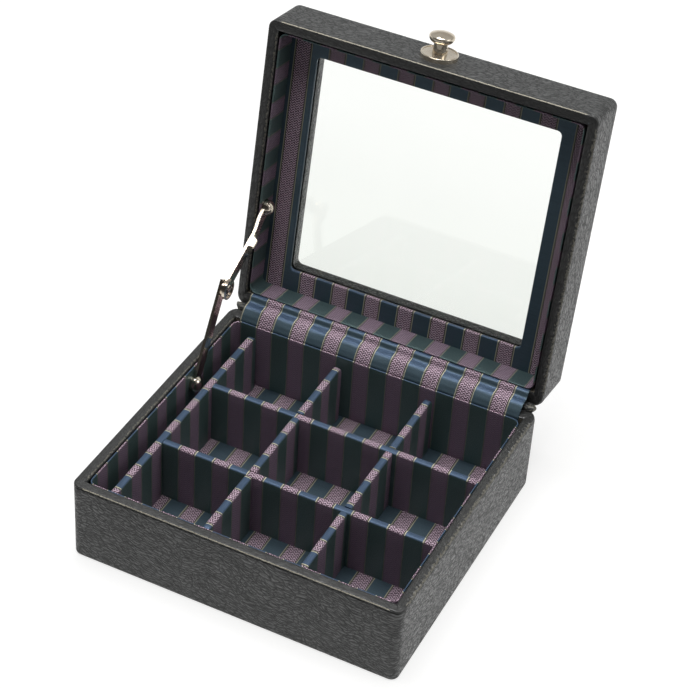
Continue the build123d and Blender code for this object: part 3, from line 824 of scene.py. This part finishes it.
floor_cloth = flat_lining(
    "base_floor_cloth", (-3.4, 3.4, -0.85, -0.85, 0.0, 0.0),
    [(share, 4.8, 1.0) for share in (0.0, 0.2, 0.4, 0.6, 0.8, 0.94)]
    + [(0.995, 4.75), (1.0, 4.5), (1.0, 3.9), (0.995, 3.63), (0.5, 3.62), (0.0, 3.62)],
    60, 0.1, 55.0, (3.0, 3.0, 3.0), 3.9)
# Painted light and shade: half-lit colours on the floor cloth, darkened to 0.68.
lay_painted_light(floor_cloth, 0.5, 0.5, tone=0.68)
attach(floor_cloth, "base")
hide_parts("base_floor_lining")

# The dividers: padded card wrapped in the same cloth with its stripes across the top and down
# the sides. The partition stands alone; columns and rows are slotted together at half height.
divider_width = 3.7
divider_round = 0.9
divider_top = 38.0
divider_foot = 4.8
slot_level = 21.4


def divider_section(low, high):
    """Closed section of a divider, up one side, over the softly crowned top and down the other."""
    half = divider_width / 2
    shoulder = high - divider_round
    left = [(-half, low + (shoulder - low) * i / 6) for i in range(7)]
    for turn in (math.radians(a) for a in (20, 40, 60, 80)):
        rise = divider_round * math.sin(turn) - 0.05
        left.append((-half + divider_round * (1 - math.cos(turn)), shoulder + rise))
    left.append((-half * 0.3, high))
    return left + [(-x, z) for x, z in reversed(left)]


def divider(name, stations, axis, middle, start, seed):
    """Build a divider that runs along an axis from (distance along it, foot, top) stations."""
    sections = [divider_section(low, high) for _, low, high in stations]
    count = len(sections[0])
    phases = np.random.default_rng(seed).uniform(0, 6.3, 3)
    spots = []
    for (along, low, high), section in zip(stations, sections):
        swell = sum(math.sin(along / size + phase) for size, phase in zip((6.0, 11.0, 17.0), phases)) / 3
        for x, z in section:
            rise = min(max((z - low) / max(high - low, 1e-6), 0), 1)
            off = middle + x * (1 + 0.06 * swell * math.sin(math.pi * rise) / (divider_width / 2))
            spots.append([c * mm for c in ((off, along, z) if axis == "Y" else (along, off, z))])
    faces = [tuple(range(count))[::-1], tuple(range(len(spots) - count, len(spots)))]
    for ring in range(0, len(spots) - count, count):
        for j in range(count):
            k = (j + 1) % count
            faces.append((ring + j, ring + k, ring + count + k, ring + count + j))
    mesh = bpy.data.meshes.new(name)
    mesh.from_pydata(spots, [], faces)
    piece = add(name, mesh)
    mesh.materials.append(cloth_finish)
    face_out(piece)
    corner = corners_of(piece)
    distance = np.array([station[0] for station in stations])[corner // count]
    run = np.concatenate([[0], np.cumsum(np.hypot(*np.diff(np.array(sections[0]), axis=0).T))])
    lay_map(piece, np.stack([distance - start, run[corner % count]], -1) / stripe_repeat)
    finish_off(piece, 40)
    # Painted light: lit colours on the tops at 0.9, and the sides' colour raised 1.25 times.
    lay_painted_light(piece, 0.0, 1.0, tone=0.9, upright_painted_light=1.25)
    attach(piece, "base")
    return piece


def run_of_stations(first, last, end_round, slots):
    """Stations along a divider, closer at its rounded ends. A slot is (from, to, foot, top)."""
    marks = set(np.linspace(first, last, int((last - first) / 3) + 1).tolist())
    if end_round:
        for i in range(8):
            drop = end_round * (1 - math.cos(math.radians(90 * i / 7)))
            marks |= {first + drop, last - drop}
    for edge in (edge for slot in slots for edge in slot[:2]):
        marks |= {edge - 0.02, edge + 0.02}
    stations = []
    for along in sorted(marks):
        low, high = divider_foot, divider_top
        from_end = min(along - first, last - along)
        if from_end < end_round:
            high -= end_round - math.sqrt(max(end_round ** 2 - (end_round - from_end) ** 2, 0))
        for start, end, slot_low, slot_high in slots:
            if start < along < end:
                low, high = max(low, slot_low), min(high, slot_high)
        stations.append((along, low, high))
    return stations


column_span = (-68.0, 66.4)
row_span = (-64.25, 76.65)
columns = {"1": (-18.4, 8.5), "2": (30.8, 16.0)}
lines = {"1": (-24.5, 16.3), "2": (22.9, 16.8)}
half_slot = divider_width / 2 + 0.1
partition = divider("side_channel_divider", run_of_stations(*column_span, 3.0, []), "Y", -66.2, 0.1, 1)
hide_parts("side_channel_partition")
for key, (middle, start) in columns.items():
    cuts = [(y - half_slot, y + half_slot, 0, slot_level - 0.1) for y, _ in lines.values()]
    stations = run_of_stations(*column_span, 3.0, cuts)
    piece = divider(f"column_divider_cloth_{key}", stations, "Y", middle, start, 10 + int(key))
    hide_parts(f"column_divider_{key}")
for key, (middle, start) in lines.items():
    cuts = [(x - half_slot, x + half_slot, slot_level + 0.1, 99) for x, _ in columns.values()]
    stations = run_of_stations(*row_span, 0.0, cuts)
    piece = divider(f"row_divider_cloth_{key}", stations, "X", middle, start, 20 + int(key))
    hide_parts(f"row_divider_{key}")

# The hinge: a strip of the striped cloth inside, tucked behind both back linings, and a strip of
# leather outside, glued into the backs of the base and the lid. Both are shaped with the lid open.
joint = next(j for j in frame["joints"] if j["name"] == "lid_hinge")
hinge = Matrix.Translation(joint["pos_m"])
open_turn = hinge @ Matrix.Rotation(-math.radians(joint["range_deg"][1]), 4, "X") @ hinge.inverted()


def opened(y, z):
    """Where a point of the shut lid stands when the lid is open, in millimetres."""
    spot = open_turn @ Vector((0, y * mm, z * mm))
    return spot.y / mm, spot.z / mm


tree, given, out = node_group(
    "GeometryNodeTree", "strip_along_a_line",
    [("Geometry", "Geometry"), ("Step", "Float", 0.0005), ("Width", "Float", 0.1),
     ("Thickness", "Float", 0.001), ("Cuts across", "Int", 80), *ripple_inputs],
    [("Geometry", "Geometry")])
line = take(tree, "GeometryNodeMeshToCurve", {"Mesh": given["Geometry"]})
inputs = {"Curve": line, "Length": given["Step"]}
line = take(tree, "GeometryNodeResampleCurve", inputs, mode="LENGTH")
run = place(tree, "GeometryNodeSplineParameter").outputs["Length"]
line = keep(tree, line, "along", run, "FLOAT")
inputs = {"Width": given["Width"], "Height": given["Thickness"]}
section = take(tree, "GeometryNodeCurvePrimitiveQuadrilateral", inputs)
inputs = {"Curve": section, "Cuts": given["Cuts across"]}
section = take(tree, "GeometryNodeSubdivideCurve", inputs)
inputs = {"Curve": line, "Profile Curve": section, "Fill Caps": True}
sheet = take(tree, "GeometryNodeCurveToMesh", inputs)
end_tree(tree, keep(tree, sheet, "give", 1.0, "FLOAT"), given, out)
strip_tree = tree


def soft_line(corners, radius):
    """Points of a line through corners, rounded at each, in (y, z)."""
    corners = [np.array(c, float) for c in corners]
    spots = [corners[0]]
    for before, here, after in zip(corners, corners[1:], corners[2:]):
        ways = [other - here for other in (before, after)]
        reach = min(radius, *(np.linalg.norm(way) / 2 for way in ways))
        a, b = (here + way / np.linalg.norm(way) * reach for way in ways)
        spots += [(1 - t) ** 2 * a + 2 * t * (1 - t) * here + t ** 2 * b for t in np.linspace(0, 1, 7)]
    return spots + [corners[-1]]


def strip(name, corners, radius, middle, width, thickness, step, cuts, *ripple):
    """Grow a strip of cloth or leather along a line, its width along X."""
    spots = soft_line(corners, radius)
    start = bpy.data.meshes.new(name + "_line")
    links = [(i, i + 1) for i in range(len(spots) - 1)]
    start.from_pydata([(0, y * mm, z * mm) for y, z in spots], links, [])
    sizes = {"Width": width * mm, "Thickness": thickness * mm, "Step": step * mm, "Cuts across": cuts}
    piece = grow(name, start, strip_tree, sizes, *ripple)
    set_points(piece, points_of(piece) + (middle, 0, 0))
    face_out(piece)
    return piece


def run_along(piece, start, repeat):
    """Lay a pattern by X and by the length along a strip."""
    layout = np.stack([points_of(piece)[:, 0] - start, stored(piece, "along") / mm], -1)
    lay_map(piece, layout[corners_of(piece)] / repeat)


strip_y = 69.52
low, high = (strip_y, 43.2), opened(strip_y, 43.3)
chord = np.array(high) - np.array(low)
out_of_chord = np.array((-chord[1], chord[0])) / np.hypot(*chord)
bulges = ((0.05, -0.3), (0.16, 0.4), (0.45, 1.3), (0.74, -1.3), (0.92, 0.35))
billow = [low + chord * share + out_of_chord * bulge for share, bulge in bulges]
corners = [(strip_y, 29.2), (strip_y, 42.4), *billow, opened(strip_y, 44.1), opened(strip_y, 56.0)]
cloth_strip = strip(
    "hinge_cloth", corners, 1.6, 0.25, 151.3, 0.42, 0.45, 120, 0.3, 95.0, (6.0, 2.0, 0.0), cloth_finish)
run_along(cloth_strip, 6.3, stripe_repeat)
# Painted highlight: lit colours and sheen on the faces of the hinge cloth that turn upwards.
lay_painted_light(cloth_strip, 0.45, 1.0, 0.7, 0.97)
finish_off(cloth_strip, 70)
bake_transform(cloth_strip)
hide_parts("fabric_hinge_strip")

spine_y = 75.9
lid_edge, lid_tail = opened(spine_y, 43.3), opened(spine_y, 57.2)
tilt = (lid_tail[1] - lid_edge[1]) / (lid_tail[0] - lid_edge[0])
spine_corner = (spine_y, lid_edge[1] - tilt * (lid_edge[0] - spine_y))
spine = strip(
    "hinge_leather_spine", [(spine_y, 29.15), spine_corner, lid_tail], 2.6, 0.0, 157.0, 0.78, 0.5, 150,
    0.1, 120.0, (8.0, 2.0, 5.0), leather)
run_along(spine, 0.0, 1.0)
spots = points_of(spine)
in_gap = np.exp(-((spots[:, 1] - 77.4) ** 2 + (spots[:, 2] - 44.6) ** 2) / 7.0)
in_gap *= np.clip((np.abs(spots[:, 0]) - 74.5) / 4.0, 0, 1)
spots[:, 0] += np.sign(spots[:, 0]) * in_gap * 3.2
spots[:, 1] += in_gap * 0.5 * np.sin(spots[:, 0] * 2.3 + spots[:, 2] * 1.7)
spots[:, 2] += in_gap * 0.4 * np.sin(spots[:, 0] * 1.9 - spots[:, 1] * 2.1)
set_points(spine, spots)
# Painted highlight on the crumpled leather at the spine's ends.
mark(spine, "crinkle_highlight", in_gap * 0.9)
finish_off(spine, 60)
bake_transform(spine)
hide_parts("leather_spine")

# The lid's leather: one skin up the sides, over the rounded top edge and down into the window,
# with a separate strip over the rim like the base's. All are shaped shut and then opened.
window = (-62.5, 63.2, -58.2, 57.2, 2.5, 0.0)
top_round, sill_round, top_level = 2.4, 4.0, 70.8


def onto_lid(piece):
    """Open a piece with the lid, and let it ride on the lid."""
    piece.data.transform(open_turn)
    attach(piece, "lid")


rows = [row(case, *step) for step in ((0.88, 44.35), (0.4, 44.32), (0.14, 44.45), (0.03, 44.8))]
rows += [row(case, 0, z, 1.0) for z in (45.5, 48, 51, 54, 56, 57.3, 58, 61, 64, 67)]
for turn in (math.radians(a) for a in (0, 18, 36, 54, 72)):
    rows.append(row(case, top_round * (1 - math.cos(turn)), 68.4 + top_round * math.sin(turn)))
rows.append(row(case, top_round, top_level))
edge, sill = drawn_in(case, top_round), drawn_in(window, -sill_round)
rows += [row(between(edge, sill, i / 8), 0, top_level, 0.8) for i in range(1, 8)]
rows.append(row(sill, 0, top_level))
for turn in (math.radians(a) for a in (15, 30, 45, 60, 75)):
    rows.append(row(window, -sill_round * (1 - math.sin(turn)), 66.8 + sill_round * math.cos(turn)))
rows += [row(window, 0, z, 0.4) for z in (66.8, 65.5, 64, 62.8, 62.2)]
rows += [row(window, *step) for step in (
    (-0.1, 61.9), (-0.8, 61.86), (-0.88, 66.8), (-1.8, 69.0), (-4.0, 69.95))]
rows += [row(case, *step) for step in ((2.4, 69.95), (1.35, 69.5), (0.9, 68.4))]
lid_skin = wrap_round("lid_leather_skin", rows, 70, 0.07, 45.0, (9.0, 4.0, 2.0), leather)
unwrap(lid_skin, run_round(ring_points(lid_skin, 6)), section_run(rows), lying_flat=True)
spots = points_of(lid_skin)
sink_under_spine(spots, under_spine, high=57.7)
set_points(lid_skin, spots)
finish_off(lid_skin, 45)
onto_lid(lid_skin)
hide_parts("lid_side_leather", "lid_top_leather")

lid_rim = rim("lid_leather_rim", 43.3, -1, (7.0, 7.0, 1.0))
onto_lid(lid_rim)
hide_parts("lid_rim_leather")

# The lid's linings and its window: a band of striped cloth over card round the walls, a lined
# frame that holds the glass up against the top board, and a plain pane of clear glass.
lid_band = wall_lining(
    "lid_wall_cloth", 76.45, (57.25, 55, 52, 49, 46.5, 44.7),
    ((0.05, 44.3), (0.18, 44.05), (0.4, 43.95), (0.62, 44.05), (0.75, 44.3), (0.8, 44.7), (0.8, 57.25)),
    3, (16.2, 10.9, 1.3, 1.4), (5.0, 5.0, 8.0))
onto_lid(lid_band)
# Painted shade: mostly the shaded colours on the lid's band.
lay_painted_light(lid_band, 0.05, 0.14)
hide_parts("lid_wall_lining")

window_cloth = flat_lining(
    "window_frame_cloth", window,
    [(share, 57.3, give) for share, give in ((1.0, 0), (0.8, 1), (0.6, 1), (0.4, 1), (0.2, 1), (0.06, 0.5))]
    + [(0.02, 57.36), (0.005, 57.55), (0.0, 57.9), (0.0, 58.9), (0.01, 59.25), (1.0, 59.25)],
    70, 0.02, 45.0, (1.0, 8.0, 4.0), 15.6)
onto_lid(window_cloth)
# Painted light: lit colours on the frame's open faces, the whole darkened to 0.82.
lay_painted_light(window_cloth, 0.5, 1.0, tone=0.82)
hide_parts("window_frame_lining")

glass, tree, shader = new_finish("clear_window_glass")
spot = coordinates(tree)
smear = noise_of(tree, spot, 25, 3)
# Painted shade: the pane's colour is greyer towards its lower edge, with soft smears on it.
painted_shade_and_smear = split(tree, spot)[2].ramp(0.06, 0.19) + smear * 0.2
set_inputs(tree, shader, {
    "Base Color": blend_colour(tree, painted_shade_and_smear, (0.82, 0.85, 0.81, 1), (0.93, 0.945, 0.925, 1)),
    "Roughness": smear.ramp(0.4, 0.75, 0.0, 0.015), "Transmission Weight": 1.0, "IOR": 1.46})
dress(glass, "glass_pane")

# The stay: two flat nickel-plated arms with round eyes, joined by a ringed rivet at the knee and
# held at each end by a domed pin through a small washer. The upper arm has a folded finger tab.
wear, given, out = node_group(
    "ShaderNodeTree", "polished_wear",
    [("Place", "Vector"), ("Metal", "Color", (0.6, 0.6, 0.6, 1)), ("Amount", "Float", 0.5)],
    [("Colour", "Color"), ("Dullness", "Float"), ("Height", "Float")])
haze = noise_of(wear, given["Place"], 180, 4, 0.6)
hairs = noise_of(wear, stretch(wear, given["Place"], (1.0, 0.07, 0.33)), 900, 2, 0.5)
hazed = haze.ramp(0.4, 0.75) * given["Amount"]
set_inputs(wear, out, {
    "Colour": blend_colour(wear, hazed, given["Metal"], shade(196, 176, 150), "MULTIPLY"),
    "Dullness": haze * given["Amount"] * 0.16 + hairs.ramp(0.55, 0.8, 0.07, 0.16),
    "Height": hairs * 0.5 + haze})


def metal(name, colour, amount, depth, purity=1.0):
    """Polished or plated metal with a light haze and hairlines."""
    finish, tree, shader = new_finish(name)
    worn = use_group(tree, wear, Place=coordinates(tree), Metal=colour, Amount=amount)
    set_inputs(tree, shader, {
        "Base Color": worn["Colour"], "Roughness": worn["Dullness"], "Metallic": purity})
    emboss(tree, shader, worn["Height"], 0.12, depth)
    return finish


nickel = metal("polished_nickel", shade(214, 204, 190), 0.5, 0.0001)
dress(nickel, "stay_lower_arm", "stay_upper_arm", "knee_rivet_back", "knee_rivet_front")
dress(nickel, "base_stay_pin", "lid_stay_pin", "base_stay_washer", "lid_stay_washer")

# The knob: turned from brass rod, nickel plated and polished, standing on a dished rosette and
# pulled to the lid's front by a zinc-plated screw from inside.
dress(metal("satin_nickel", shade(222, 212, 194), 0.4, 0.0001, 0.82), "knob", "knob_rosette")
dress(metal("zinc_plate", shade(176, 180, 184), 0.9, 0.0002), "knob_screw")
